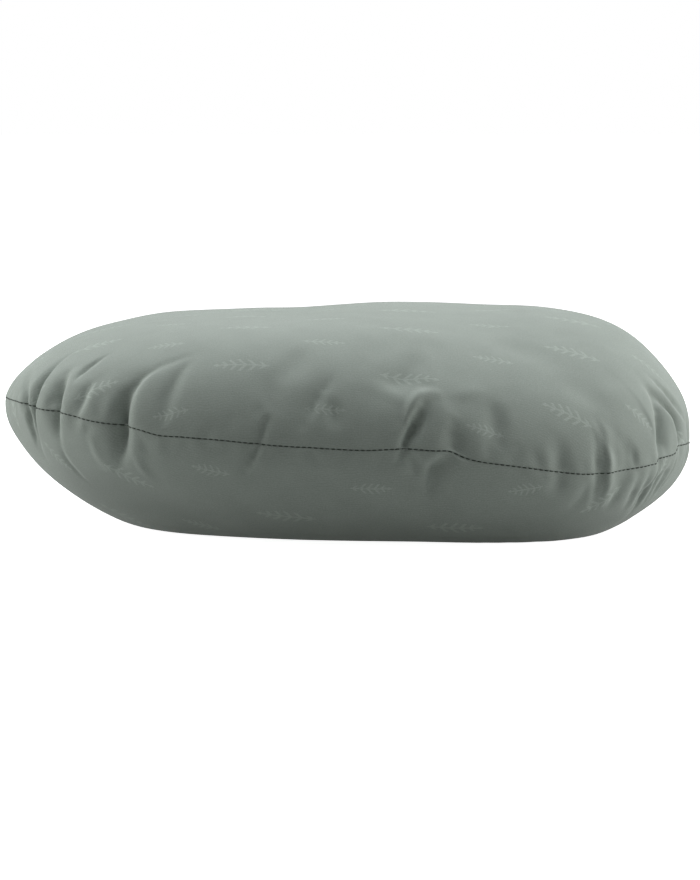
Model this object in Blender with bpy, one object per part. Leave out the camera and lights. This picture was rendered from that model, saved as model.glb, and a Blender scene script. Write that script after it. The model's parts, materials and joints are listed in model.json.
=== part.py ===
"""Camp pillow: two cover panels sewn round a loose foam fill, with its seams and its care label.

Metres, +Z up. The pillow stands on its flattened underside at z = 0, centred on the origin, with its
long side along X. The front long side faces -Y. The side that was closed last, with an edge-stitched
fin, faces +Y.

A place on the pillow is given by an angle round it, 0 at +X and counter-clockwise from above, and by
a share of the way from the centre (0) to the seam (1).
"""

import math

import bmesh
import bpy
from mathutils import Vector

# The stuffed pillow
HALF_LENGTH = 0.2075
HALF_WIDTH = 0.1525
OUTLINE_POWER = 2.6  # 2 is an ellipse, and a higher power has fuller corners
CROWN_HEIGHT = 0.127
CROWN_TILT = 0.0054  # how much higher the crown's +X end lies
UPPER_POWER = 5.0  # how flat the crown is before it turns down
UPPER_ROUNDING = 0.58
UPPER_ROUNDING_TILT = -0.07  # the +X end is fuller above the seam
LOWER_POWER = 1.4
LOWER_ROUNDING = 0.50
LOWER_DEPTH = 0.038  # how far the underside would hang below the ground if nothing flattened it
SEAM_HEIGHT = 0.0597
SEAM_TILT = -0.0176  # the seam lies higher at the -X end, where less of the fill is above it
SEAM_WAVE = 0.0016  # three waves round the seam

# Sewing
FABRIC = 0.0006
GAP = 0.0003  # between pieces that touch
ALLOWANCE = 0.010  # the seam allowance, turned in between the panels
LIP = 0.0004  # how far the seam stands out of the cover
FIN = 0.0035  # the same where the pillow was closed after stuffing
CLOSING_START = math.radians(58)
CLOSING_END = math.radians(106)
CLOSING_RAMP = math.radians(6)
THREAD_RADIUS = 0.0002
THREAD_HEIGHT = GAP / 2 + FABRIC + GAP + THREAD_RADIUS  # above or below the seam's middle plane
SEAM_THREAD_INSET = 0.0022  # from the cover's edge to the seam threads
CLOSING_THREAD_OUTSET = 0.0019  # from the cover's edge to the threads in the fin
OVERLOCK_THICKNESS = 0.0005
OVERLOCK_REACH = 0.004  # from the raw edge along the allowance

# Fill: loose crumbs of foam, as one body that keeps off the cover and the seam allowance
FILL_SHARE = 0.92  # of the way to the seam
FILL_CLEARANCE = 0.001

# Care label: a blank folded tape that is caught in the seam and hangs from it
LABEL_ANGLE = math.radians(119)
LABEL_WIDTH = 0.036
LABEL_DROP = 0.046
LABEL_THICKNESS = 0.0006
LABEL_ROUND_STEPS = 6

SEGMENTS = 72
FILL_SEGMENTS = 36
UPPER_SHARES = (0.30, 0.55, 0.72, 0.84, 0.92, 0.97, 0.993, 1.0)
LOWER_SHARES = (0.0, 0.16, 0.34, 0.54, 0.74, 0.90, 0.97, 1.0)  # from the contact patch to the seam
FILL_SHARES = (0.35, 0.60, 0.76, 0.86, FILL_SHARE)

SAGE = (0.25, 0.29, 0.26)
THREAD_GREEN = (0.02, 0.025, 0.02)
PALE_SAGE = (0.42, 0.46, 0.42)
FOAM_GREY = (0.55, 0.55, 0.52)
LABEL_WHITE = (0.80, 0.80, 0.77)


def clear_scene():
    for obj in list(bpy.data.objects):
        bpy.data.objects.remove(obj)


def material(name, colour, roughness):
    made = bpy.data.materials.new(name)
    made.use_nodes = True
    shader = made.node_tree.nodes["Principled BSDF"]
    shader.inputs["Base Color"].default_value = (*colour, 1)
    shader.inputs["Roughness"].default_value = roughness
    shader.inputs["Metallic"].default_value = 0
    return made


# ---------------------------------------------------------------- the pillow's form


def smooth_step(value):
    value = min(1.0, max(0.0, value))
    return value * value * (3 - 2 * value)


def lip(angle):
    """How far the seam stands out at this angle: a narrow ridge, or the fin along the closed stretch."""
    opens = smooth_step((angle - CLOSING_START) / CLOSING_RAMP)
    closes = smooth_step((CLOSING_END - angle) / CLOSING_RAMP)
    return LIP + (FIN - LIP) * opens * closes


def edge(angle):
    """The cover's edge in plan. The rear half is narrower by what the fin adds."""
    c, s = math.cos(angle), math.sin(angle)
    reach = (abs(c) ** OUTLINE_POWER + abs(s) ** OUTLINE_POWER) ** (-1 / OUTLINE_POWER)
    half_width = HALF_WIDTH if s < 0 else HALF_WIDTH - (FIN - LIP)
    return Vector((HALF_LENGTH * c * reach, half_width * s * reach, 0))


def beyond_edge(angle, distance):
    """A point in plan that far outside the cover's edge, or inside it if negative."""
    at = edge(angle)
    return at * (1 + distance / at.length)


def seam_height(angle):
    return SEAM_HEIGHT + SEAM_TILT * math.cos(angle) + SEAM_WAVE * math.cos(3 * angle)


def upper_point(angle, share, inset=0.0):
    """A point on the upper cover, or that far inside it."""
    at = edge(angle)
    at *= share * (1 - inset / at.length)
    rounding = UPPER_ROUNDING + UPPER_ROUNDING_TILT * math.cos(angle)
    rise = (1 - share**UPPER_POWER) ** rounding
    low = seam_height(angle) + GAP / 2 + FABRIC
    crown = CROWN_HEIGHT + CROWN_TILT * at.x / HALF_LENGTH - inset
    return Vector((at.x, at.y, low * (1 - rise) + crown * rise))


def lower_point(angle, share, inset=0.0):
    """A point on the lower cover, which the ground flattens, or that far inside it."""
    at = edge(angle)
    at *= share * (1 - inset / at.length)
    drop = (1 - share**LOWER_POWER) ** LOWER_ROUNDING
    high = seam_height(angle) - GAP / 2 - FABRIC
    height = high * (1 - drop) - LOWER_DEPTH * drop
    return Vector((at.x, at.y, max(height, 0) + inset * drop))


def contact_share(angle):
    """Where the lower cover leaves the ground: its drop there is the one that gives height 0."""
    high = seam_height(angle) - GAP / 2 - FABRIC
    drop = high / (high + LOWER_DEPTH)
    return (1 - drop ** (1 / LOWER_ROUNDING)) ** (1 / LOWER_POWER)


# ---------------------------------------------------------------- mesh tools


def angles(count):
    return [2 * math.pi * i / count for i in range(count)]


def ring(count, point):
    return [point(angle) for angle in angles(count)]


def flat_ring(count, distance, height):
    """A ring parallel to the edge, at a height above the seam."""

    def point(angle):
        at = beyond_edge(angle, distance(angle))
        return Vector((at.x, at.y, seam_height(angle) + height))

    return ring(count, point)


def add_object(name, mesh, look):
    mesh.shade_smooth()
    mesh.set_sharp_from_angle(angle=math.radians(40))
    mesh.materials.append(look)
    made = bpy.data.objects.new(name, mesh)
    bpy.context.scene.collection.objects.link(made)
    return made


def rings_to_solid(name, rings, look, closed=False):
    """Joins rings of points in order. The first and last each close on a middle point, or join up."""
    made = bmesh.new()
    loops = [[made.verts.new(point) for point in points] for points in rings]
    pairs = list(zip(loops, loops[1:], strict=False))
    if closed:
        pairs.append((loops[-1], loops[0]))
    for first, second in pairs:
        for i, j in zip(range(-1, len(first) - 1), range(len(first)), strict=True):
            made.faces.new((first[i], first[j], second[j], second[i]))
    if not closed:
        for points, loop in ((rings[0], loops[0]), (rings[-1], loops[-1])):
            middle = made.verts.new(sum(points, Vector()) / len(points))
            for i in range(len(loop)):
                made.faces.new((middle, loop[i - 1], loop[i]))
    bmesh.ops.recalc_face_normals(made, faces=made.faces)
    mesh = bpy.data.meshes.new(name)
    made.to_mesh(mesh)
    made.free()
    return add_object(name, mesh, look)


def thread(name, points, look, cyclic):
    """A round thread through the points."""
    curve = bpy.data.curves.new(name, "CURVE")
    curve.dimensions = "3D"
    curve.bevel_depth = THREAD_RADIUS
    curve.bevel_resolution = 1
    curve.use_fill_caps = True
    spline = curve.splines.new("POLY")
    spline.points.add(len(points) - 1)
    for spot, point in zip(spline.points, points, strict=True):
        spot.co = (*point, 1)
    spline.use_cyclic_u = cyclic
    curve.materials.append(look)
    made = bpy.data.objects.new(name, curve)
    bpy.context.scene.collection.objects.link(made)
    return made


# ---------------------------------------------------------------- sub-parts


def cover_panel(name, domes, side, look):
    """One cover panel, from its dome to its turned-in allowance. domes is its outer and inner rings."""
    near, far = side * GAP / 2, side * (GAP / 2 + FABRIC)
    outer, inner = domes
    seam = [
        flat_ring(SEGMENTS, lip, far),
        flat_ring(SEGMENTS, lip, near),
        flat_ring(SEGMENTS, lambda a: -ALLOWANCE, near),
        flat_ring(SEGMENTS, lambda a: -ALLOWANCE, far),
    ]
    rings_to_solid(name, outer + seam + inner[::-1], look)


def cover_upper_panel(look):
    def dome(inset):
        return [ring(SEGMENTS, lambda a, s=share: upper_point(a, s, inset)) for share in UPPER_SHARES]

    cover_panel("cover_upper_panel", (dome(0), dome(FABRIC)), 1, look)


def cover_lower_panel(look):
    """The lower panel, whose first ring is the edge of the flat patch that it stands on."""

    def point(angle, share, inset):
        contact = contact_share(angle)
        return lower_point(angle, contact + (1 - contact) * share, inset)

    def dome(inset):
        return [ring(SEGMENTS, lambda a, s=share: point(a, s, inset)) for share in LOWER_SHARES]

    cover_panel("cover_lower_panel", (dome(0), dome(FABRIC)), -1, look)


def seam_threads(look):
    """The needle thread above the turned-in allowances and the bobbin thread below them."""
    for name, side in (("seam_needle_thread", 1), ("seam_bobbin_thread", -1)):
        points = flat_ring(SEGMENTS, lambda a: -SEAM_THREAD_INSET, side * THREAD_HEIGHT)
        thread(name, points, look, cyclic=True)


def closing_threads(look):
    """The two threads of the edge stitching along the fin."""
    first, last = CLOSING_START + CLOSING_RAMP, CLOSING_END - CLOSING_RAMP
    stretch = [angle for angle in angles(SEGMENTS) if first <= angle <= last]
    for name, side in (("closing_needle_thread", 1), ("closing_bobbin_thread", -1)):
        points = []
        for angle in stretch:
            at = beyond_edge(angle, CLOSING_THREAD_OUTSET)
            points.append(Vector((at.x, at.y, seam_height(angle) + side * THREAD_HEIGHT)))
        thread(name, points, look, cyclic=False)


def overlock_threads(look):
    """The three threads that bind the raw edges: a band on each face, and the needle's line."""
    inner = GAP / 2 + FABRIC + GAP
    outer = inner + OVERLOCK_THICKNESS
    edge_side = -ALLOWANCE - GAP
    wrapped = edge_side - OVERLOCK_THICKNESS
    open_side = -ALLOWANCE + OVERLOCK_REACH
    sections = {
        "overlock_upper_looper_thread": (
            (open_side, inner),
            (edge_side, inner),
            (edge_side, outer),
            (open_side, outer),
        ),
        "overlock_lower_looper_thread": (
            (open_side, -inner),
            (edge_side, -inner),
            (edge_side, inner - GAP),
            (wrapped, inner - GAP),
            (wrapped, -outer),
            (open_side, -outer),
        ),
    }
    for name, section in sections.items():
        rings = [flat_ring(SEGMENTS, lambda a, d=distance: d, height) for distance, height in section]
        rings_to_solid(name, rings, look, closed=True)
    needle_line = open_side + GAP + THREAD_RADIUS
    points = flat_ring(SEGMENTS, lambda a: needle_line, THREAD_HEIGHT)
    thread("overlock_needle_thread", points, look, cyclic=True)


def foam_fill(look):
    """The fill, which follows both panels and stops short of their allowances."""
    inset = FABRIC + FILL_CLEARANCE

    def dome(surface):
        return [ring(FILL_SEGMENTS, lambda a, s=share: surface(a, s, inset)) for share in FILL_SHARES]

    rings_to_solid("foam_fill", dome(upper_point) + dome(lower_point)[::-1], look)


def care_label(look):
    """The label from the seam's mouth down. Its upper edge is round, about its hinge line."""
    step = math.radians(1)
    along = (edge(LABEL_ANGLE + step) - edge(LABEL_ANGLE - step)).normalized()
    root = beyond_edge(LABEL_ANGLE, LIP + GAP + LABEL_THICKNESS / 2)
    root.z = seam_height(LABEL_ANGLE)

    hinge = bpy.data.objects.new("care_label_hinge", None)
    hinge.location = root
    hinge.rotation_euler.z = math.atan2(along.y, along.x)
    bpy.context.scene.collection.objects.link(hinge)

    half = LABEL_THICKNESS / 2
    turns = [math.pi * i / LABEL_ROUND_STEPS for i in range(LABEL_ROUND_STEPS + 1)]
    profile = [(half * math.cos(turn), half * math.sin(turn)) for turn in turns]
    profile += [(-half, -LABEL_DROP), (half, -LABEL_DROP)]
    made = bmesh.new()
    ends = []
    for x in (-LABEL_WIDTH / 2, LABEL_WIDTH / 2):
        ends.append([made.verts.new((x, y, z)) for y, z in profile])
    for end in ends:
        made.faces.new(end)
    for i in range(len(profile)):
        made.faces.new((ends[0][i - 1], ends[0][i], ends[1][i], ends[1][i - 1]))
    bmesh.ops.recalc_face_normals(made, faces=made.faces)
    mesh = bpy.data.meshes.new("care_label")
    made.to_mesh(mesh)
    made.free()
    label = add_object("care_label", mesh, look)
    label.parent = hinge


def main():
    clear_scene()
    cloth = material("brushed_cover", SAGE, 0.85)
    sewing = material("seam_thread", THREAD_GREEN, 0.7)
    edging = material("overlock_thread", PALE_SAGE, 0.8)
    foam = material("crumb_foam", FOAM_GREY, 0.95)
    tape = material("label_tape", LABEL_WHITE, 0.5)

    cover_upper_panel(cloth)
    cover_lower_panel(cloth)
    seam_threads(sewing)
    closing_threads(sewing)
    overlock_threads(edging)
    foam_fill(foam)
    care_label(tape)


main()
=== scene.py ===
"""Looks of the camp pillow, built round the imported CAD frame.

The cover starts as the stuffed form of the CAD panels, a grid whose lines run along the seam and away
from it. Listed folds are pressed into it, cloth simulation relaxes it, and it is then parted at the
seam into the two panels, whose edges roll inwards there. A place near the seam is given in millimetres:
along, from the middle of the front, positive towards +X, and off, away from the seam, positive up.
"""

import json
import math
import random

import bmesh
import bpy
import numpy as np
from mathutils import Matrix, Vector


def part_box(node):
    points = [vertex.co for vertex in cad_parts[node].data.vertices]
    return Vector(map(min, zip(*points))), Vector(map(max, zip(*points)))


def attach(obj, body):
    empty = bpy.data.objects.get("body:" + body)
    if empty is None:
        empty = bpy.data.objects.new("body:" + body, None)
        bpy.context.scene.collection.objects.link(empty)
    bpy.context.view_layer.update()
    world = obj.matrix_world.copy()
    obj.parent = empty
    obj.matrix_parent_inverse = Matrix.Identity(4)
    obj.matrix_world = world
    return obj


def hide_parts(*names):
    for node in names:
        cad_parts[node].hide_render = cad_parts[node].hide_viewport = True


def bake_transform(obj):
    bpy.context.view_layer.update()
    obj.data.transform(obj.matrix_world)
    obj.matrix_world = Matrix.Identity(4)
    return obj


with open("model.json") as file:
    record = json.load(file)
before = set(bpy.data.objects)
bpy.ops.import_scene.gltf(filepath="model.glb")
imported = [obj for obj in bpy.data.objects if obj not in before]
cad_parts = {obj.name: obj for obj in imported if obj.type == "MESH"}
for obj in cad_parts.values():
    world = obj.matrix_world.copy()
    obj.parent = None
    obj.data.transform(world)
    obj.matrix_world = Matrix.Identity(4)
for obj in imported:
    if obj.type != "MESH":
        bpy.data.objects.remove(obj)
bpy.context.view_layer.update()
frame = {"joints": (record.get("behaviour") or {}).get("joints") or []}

MM = 0.001

# The stuffed form, as the CAD model has it, in metres
LIP = 0.0004
FIN = 0.0035
OUTLINE_POWER = 2.6
CROWN_TILT = 0.0054
UPPER_POWER = 5.0
UPPER_ROUNDING = 0.58
UPPER_ROUNDING_TILT = -0.07
SLOPING_AT, SLOPING_REACH = math.radians(-52), math.radians(40)  # the front right slopes more gently
SLOPING = 2.3
LOWER_POWER = 1.4
LOWER_ROUNDING = 0.50
LOWER_DEPTH = 0.038
SEAM_WAVE = 0.0016
HALF_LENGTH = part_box("cover_upper_panel")[1].x - LIP
HALF_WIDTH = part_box("cover_upper_panel")[1].y - LIP
HIGHEST_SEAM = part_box("seam_needle_thread")[1].z
LOWEST_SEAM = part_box("seam_bobbin_thread")[0].z
SEAM_HEIGHT = (HIGHEST_SEAM + LOWEST_SEAM) / 2
SEAM_TILT = -0.0176
LEFT_TO_SWELLS = 0.0038  # the height that the crown's swells and the cloth add
CROWN_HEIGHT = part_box("cover_upper_panel")[1].z - LEFT_TO_SWELLS

# Grid
ROUND_LONG = 110  # cells along each long side of the grid's middle block
ROUND_SHORT = 80
RINGS = 34  # from the seam to the middle block
BLOCK_SHARE = 0.5  # of the way from the centre to the seam
FRONT_REACH = 172  # mm along the seam from the middle of the front to the block's front corners
REAR_REACH = 165
REAR_DENSITY = 0.45  # of the front's, how closely the grid's columns stand at the back
FRONT_SPAN = 300  # mm either side of the middle of the front
SHARPEST = (-209, -201, -178, -160, -129, -51, 32, 60, 151, 197, 224)  # mm along, the sharpest folds
SHARP_DENSITY, SHARP_REACH = 0.9, 5  # how much closer they stand there, and how many mm either side
SPREAD_STEPS = 2000
FIRST_RING = 1.5  # mm from the seam
RING_GROWTH = 1.8  # how much further apart the rings stand away from the seam
MERIDIAN_STEPS = 400
GROUND_ROUND = 0.003  # how softly the underside meets the ground
GROUND_HELD = 0.0004  # what lies lower than this rests on the ground


# ---- the form


def edge(angle):
    c, s = np.cos(angle), np.sin(angle)
    reach = (abs(c) ** OUTLINE_POWER + abs(s) ** OUTLINE_POWER) ** (-1 / OUTLINE_POWER)
    width = np.where(s < 0, HALF_WIDTH, HALF_WIDTH - (FIN - LIP))
    return HALF_LENGTH * c * reach, width * s * reach


def seam_height(angle):
    return SEAM_HEIGHT + SEAM_TILT * np.cos(angle) + SEAM_WAVE * np.cos(3 * angle)


def surface(angle, share, side):
    """Points of the smooth form: side 1 is the upper panel and side -1 the lower."""
    x, y = edge(angle)
    x, y = x * share, y * share
    seam = seam_height(angle)
    share = np.clip(share, 0, 1)
    if side > 0:
        turn = np.mod(angle - SLOPING_AT + np.pi, 2 * np.pi) - np.pi
        power = UPPER_POWER - SLOPING * np.exp(-((turn / SLOPING_REACH) ** 2))
        rise = (1 - share**power) ** (UPPER_ROUNDING + UPPER_ROUNDING_TILT * np.cos(angle))
        z = seam * (1 - rise) + (CROWN_HEIGHT + CROWN_TILT * x / HALF_LENGTH) * rise
    else:
        drop = (1 - share**LOWER_POWER) ** LOWER_ROUNDING
        z = seam * (1 - drop) - LOWER_DEPTH * drop
        z = (z + np.sqrt(z * z + GROUND_ROUND**2)) / 2
    return np.stack([x, y, z + np.zeros_like(x)], -1)


def angle_and_share(x, y):
    """The inverse of the plan: the angle and share of a point of it."""
    width = np.where(y < 0, HALF_WIDTH, HALF_WIDTH - (FIN - LIP))
    u, v = x / HALF_LENGTH, y / width
    share = (abs(u) ** OUTLINE_POWER + abs(v) ** OUTLINE_POWER) ** (1 / OUTLINE_POWER)
    return np.arctan2(v, u), share


def running_lengths(points):
    """How far along its line each point lies. The points' first axis runs along the line."""
    steps = np.linalg.norm(np.diff(points, axis=0), axis=-1)
    return np.concatenate([np.zeros_like(steps[:1]), np.cumsum(steps, axis=0)])


class Seam:
    """Where each place along the seam lies: millimetres along it, to the angle round the pillow."""

    fine = np.linspace(-np.pi / 2, 3 * np.pi / 2, 7201)
    points = np.stack([*edge(fine), seam_height(fine)], -1) / MM
    lengths = running_lengths(points)
    perimeter = float(lengths[-1])

    @classmethod
    def angle(cls, along):
        return np.interp(np.mod(along, cls.perimeter), cls.lengths, cls.fine)

    @classmethod
    def place(cls, angle):
        return float(np.interp(angle, cls.fine, cls.lengths))


def wrap(along):
    """Places along the seam, brought to between half the way round at -X and half the way round at +X."""
    half = Seam.perimeter / 2
    return np.mod(along + half, 2 * half) - half


def ease(value):
    """0 up to 0, 1 from 1 on, and a smooth rise between them."""
    value = np.clip(value, 0, 1)
    return value * value * (3 - 2 * value)


def bump(distance, reach):
    return np.exp(-((distance / reach) ** 2))


def unit(vectors):
    return vectors / np.linalg.norm(vectors, axis=-1, keepdims=True)


def density(along):
    """How closely the grid's columns stand: closer at the front, and closest at its sharpest folds."""
    along = wrap(along)
    front = REAR_DENSITY + (1 - REAR_DENSITY) / (1 + (abs(along) / FRONT_SPAN) ** 6)
    return front + SHARP_DENSITY * sum(bump(along - at, SHARP_REACH) for at in SHARPEST)


def spread(start, end, count):
    """count places from start to end, which leaves the end out, as closely as the density says."""
    fine = np.linspace(start, end, SPREAD_STEPS)
    amount = density(fine)
    total = np.concatenate([[0], np.cumsum((amount[1:] + amount[:-1]) / 2)])
    return np.interp(np.arange(count) / count * total[-1], total, fine)


def seam_marks():
    """The grid's places along the seam, once round from the right front corner of the block."""
    full = Seam.perimeter
    rear = full / 2 - REAR_REACH
    corners = (FRONT_REACH, rear, full - rear, full - FRONT_REACH, full + FRONT_REACH)
    counts = (ROUND_SHORT, ROUND_LONG) * 2
    return np.concatenate([spread(*span) for span in zip(corners[:-1], corners[1:], counts, strict=True)])


class Grid:
    """Both panels' points: rings by columns round the seam, and a block in the middle of each panel."""

    def __init__(self):
        self.along = seam_marks()
        self.angles = Seam.angle(self.along)
        self.columns = len(self.along)
        self.rings = {}
        self.off = {}
        self.block = {}
        for side in (1, -1):
            self.rings[side], self.off[side] = self.panel_rings(side)
            self.block[side] = self.panel_block(side)

    def panel_rings(self, side):
        """Rings from the seam inwards, spaced along each meridian, and their distance off the seam."""
        shares = 1 - (1 - BLOCK_SHARE) * np.linspace(0, 1, MERIDIAN_STEPS) ** 2
        lines = surface(self.angles[None, :], shares[:, None], side)
        lengths = running_lengths(lines) / MM
        growth = np.linspace(0, 1, RINGS + 1)
        rings = np.empty((RINGS + 1, self.columns, 3))
        off = np.empty((RINGS + 1, self.columns))
        first = FIRST_RING * RINGS
        for i in range(self.columns):
            off[:, i] = first * growth + (lengths[-1, i] - first) * growth**RING_GROWTH
            share = np.interp(off[:, i], lengths[:, i], shares)
            rings[:, i] = surface(self.angles[i], share, side)
        return rings, side * off

    def normals(self, side):
        rings = self.rings[side]
        round_seam = np.roll(rings, -1, axis=1) - np.roll(rings, 1, axis=1)
        return unit(np.cross(round_seam, np.gradient(rings, axis=0)) * side)

    def panel_block(self, side):
        """The middle block, whose border is the last ring and whose inside is spun between its sides."""
        ring = self.rings[side][-1]
        a, b = ROUND_LONG, ROUND_SHORT
        right, rear = ring[0 : b + 1], ring[b : b + a + 1]
        left, front = ring[b + a : 2 * b + a + 1], np.vstack([ring[2 * b + a :], ring[:1]])
        rear, left = rear[::-1], left[::-1]
        u = np.linspace(0, 1, a + 1)[:, None, None]
        v = np.linspace(0, 1, b + 1)[None, :, None]
        across = (1 - u) * left[None] + u * right[None]
        along = (1 - v) * front[:, None] + v * rear[:, None]
        corners = (
            (1 - u) * (1 - v) * front[0]
            + u * (1 - v) * front[-1]
            + (1 - u) * v * rear[0]
            + u * v * rear[-1]
        )
        plan = across + along - corners
        angle, share = angle_and_share(plan[..., 0], plan[..., 1])
        return surface(angle, share, side)


# ---- folds

BEND_SOFTNESS = 3.0  # mm over which a fold's strength changes evenly round a bend of its path
SLOPE_POWER = 2.1  # how much steeper a sloping flank is at the bottom of the fold
END_WIDTH = 0.4  # of its full width, how wide a flank is at the fold's ends


class Fold:
    """A valley along a path of places near the seam, in mm: how deep it is, and how wide each flank is.

    Its rounded flank bulges over the valley as a fold of stuffed cloth does, and the other one slopes
    down to it. The deepest point lies at that share of the path, and the flanks narrow to its ends.
    """

    def __init__(self, path, depth, left, right, rounded=None, deepest=0.5):
        self.path = np.array(path, float)
        self.depth, self.left, self.right = depth, left, right
        self.rounded, self.deepest = rounded, deepest

    def nearest(self, along, off):
        """For each place, how far it lies to the right of the path, and at what share of its length."""
        steps = np.diff(self.path, axis=0)
        lengths = np.linalg.norm(steps, axis=1)
        starts = np.concatenate([[0], np.cumsum(lengths)])
        aside, away, share = [], [], []
        for start, step, length, before in zip(self.path, steps, lengths, starts, strict=False):
            x, y = wrap(along - start[0]), off - start[1]
            u = np.clip((x * step[0] + y * step[1]) / length**2, 0, 1)
            dx, dy = x - u * step[0], y - u * step[1]
            away.append(np.hypot(dx, dy))
            aside.append(np.copysign(away[-1], dx))
            share.append((before + u * length) / starts[-1])
        closest = np.argmin(away, axis=0)[None]
        weight = np.exp((np.min(away, axis=0) - away) / BEND_SOFTNESS)
        return np.take_along_axis(np.array(aside), closest, 0)[0], (weight * share).sum(0) / weight.sum(0)

    def press(self, along, off):
        """How far the fold moves each place outwards, in mm. Inwards is negative."""
        aside, share = self.nearest(along, off)
        strength = ease(share / self.deepest) * ease((1 - share) / (1 - self.deepest))
        width = END_WIDTH + (1 - END_WIDTH) * np.sqrt(strength)
        x = np.clip(np.where(aside < 0, -aside / self.left, aside / self.right) / width, 0, 1)
        bulging = np.where(aside < 0, self.rounded == "left", self.rounded == "right")
        sloping = (1 - x) ** SLOPE_POWER if self.rounded else ease(1 - x)
        return -self.depth * strength * np.where(bulging, 1 - np.sqrt(x * (2 - x)), sloping)


FOLDS = [
    # The -X end
    Fold([(-238, 24), (-222, 14), (-212, 4), (-208, -6), (-206, -18), (-212, -30)], 7, 5, 6, "right"),
    Fold(
        [(-214, 48), (-210, 34), (-205, 20), (-201, 6), (-201, -8), (-202, -18), (-208, -36)],
        7, 9, 5, "right",
    ),
    Fold([(-192, 36), (-187, 26), (-182, 15), (-178, 3), (-178, -8), (-179, -22)], 9, 14, 7, "right"),
    Fold([(-176, 52), (-176, 34), (-174, 18)], 3, 6, 5, "right"),
    Fold([(-162, 28), (-160, 14), (-160, 3), (-160, -9)], 3.5, 10, 5, "right"),
    Fold([(-149, 24), (-149, 10), (-148, -1)], 1.8, 5, 4, "right"),
    Fold([(-179, -16), (-181, -30), (-178, -50)], 1.8, 5, 4, "right"),
    # The great fold at the -X end of the front, what hangs from it, and its neighbours
    Fold(
        [
            (-121, 46), (-126, 41), (-131, 32), (-133, 20), (-132, 8),
            (-130, -2), (-131, -12), (-137, -24), (-144, -36),
        ],
        8, 11, 10, "right",
    ),
    Fold([(-106, 60), (-117, 50), (-125, 42), (-130, 32)], 1.4, 8, 6, "right"),
    Fold([(-124, 50), (-136, 30), (-139, 8), (-138, -14), (-136, -30)], 1.6, 16, 9),
    Fold([(-132, 26), (-132, 12), (-131, -4), (-134, -16), (-141, -28)], 6.5, 12, 8, "right"),
    Fold([(-149, 2), (-151, -14), (-150, -25), (-143, -38)], -1.4, 4, 4),
    Fold([(-125, -8), (-125, -17), (-123, -27), (-119, -38)], -1.1, 3.5, 4),
    Fold([(-106, 62), (-108, 40), (-107, 24), (-106, 8), (-108, -4)], 3, 9, 6, "right"),
    Fold([(-115, -1), (-116, -8), (-114, -17)], 1.8, 4, 4, "right"),
    # The front between the great fold and the hooked one
    Fold([(-66, 18), (-68, 9), (-68, 0)], 1.4, 4, 3, "right"),
    Fold([(-42, 24), (-47, 10), (-51, -2), (-57, -13), (-66, -28)], 4.5, 7, 5, "right"),
    Fold([(-28, 76), (-37, 50), (-46, 32)], 1.6, 14, 14),
    Fold([(-4, 50), (-14, 36), (-20, 24), (-25, 12), (-27, 0)], 3.2, 13, 7, "right"),
    Fold([(-12, 32), (-9, 22), (-6, 8)], 2.2, 5, 7),
    Fold([(-22, 6), (-20, -4), (-16, -14)], 1.4, 4, 5),
    # The hooked fold in the middle of the front, with the hollow over it and the wedge beside it
    Fold([(66, 78), (44, 59), (31, 44), (31, 28)], 2.4, 15, 11),
    Fold([(61, 41), (52, 39), (45, 37), (39, 29), (35, 20), (33, 11)], -4.2, 5, 7, None, 0.45),
    Fold([(48, 36), (43, 27), (39, 18), (35, 10), (32, 4), (29, -4), (25, -12)], 10, 5, 8, "left"),
    Fold([(64, 24), (62, 16), (60, 8), (59, -2)], 3.3, 10, 13, None, 0.75),
    Fold([(60, 2), (54, -4), (48, -10), (47, -18), (49, -32)], 7, 6, 14, "left", 0.45),
    Fold([(33, 0), (38, -8), (40, -18)], 2.2, 5, 5),
    Fold([(58, 36), (68, 40), (80, 44), (96, 48)], -1.0, 6, 6),
    # Upright folds towards the +X end of the front
    Fold([(92, 44), (89, 30), (85, 16), (80, 0)], 2.2, 9, 10),
    Fold([(97, 14), (96, 4), (97, -8)], 1.8, 5, 4, "right"),
    Fold([(109, 14), (110, 4), (113, -10)], 2, 5, 4, "right"),
    Fold([(124, 24), (123, 8), (121, -6), (122, -20)], 2.4, 9, 9),
    Fold([(141, -3), (140, -14), (138, -28)], 2.8, 6, 5, "right"),
    Fold([(149, 28), (147, 12), (146, 0), (146, -10), (151, -28)], 3.2, 5, 12, "left"),
    Fold([(161, 38), (157, 20), (155, 8), (154, -3), (156, -14), (162, -32)], -2.4, 3, 2.5),
    Fold([(166, 30), (163, 18), (161, 9), (160, 0), (161, -8), (164, -22)], 2.2, 3, 6, "left"),
    Fold([(171, 22), (168, 8), (166, -4), (169, -16)], 2.6, 7, 8),
    Fold([(165, -3), (166, -14), (166, -30)], 3, 7, 5, "right"),
    Fold([(174, 16), (175, 4), (176, -6)], 2.5, 6, 4, "right"),
    Fold([(178, -1), (179, -14), (186, -34)], 3, 6, 5, "right"),
    Fold([(188, -1), (189, -15), (195, -36)], 4, 6, 5, "right"),
    # The +X end, where the cover laps over itself
    Fold([(217, 52), (211, 30), (203, 14), (197, 0), (195, -8)], 8.5, 10, 12, "left", 0.6),
    Fold([(208, 50), (220, 34), (227, 20), (226, 8), (224, -8)], 8, 8, 10, "left", 0.6),
    Fold([(226, 54), (232, 42), (238, 26), (245, 10)], 5, 6, 6, "right"),
    Fold([(199, -2), (193, -18), (200, -40)], 4.5, 4, 6, "left"),
    Fold([(206, 0), (201, -14), (205, -34)], 4, 4, 5, "left"),
    Fold([(213, 0), (207, -14), (211, -32)], 4, 4, 5, "left"),
    Fold([(223, -2), (216, -18), (218, -34)], 3.5, 4, 5, "left"),
]

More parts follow.
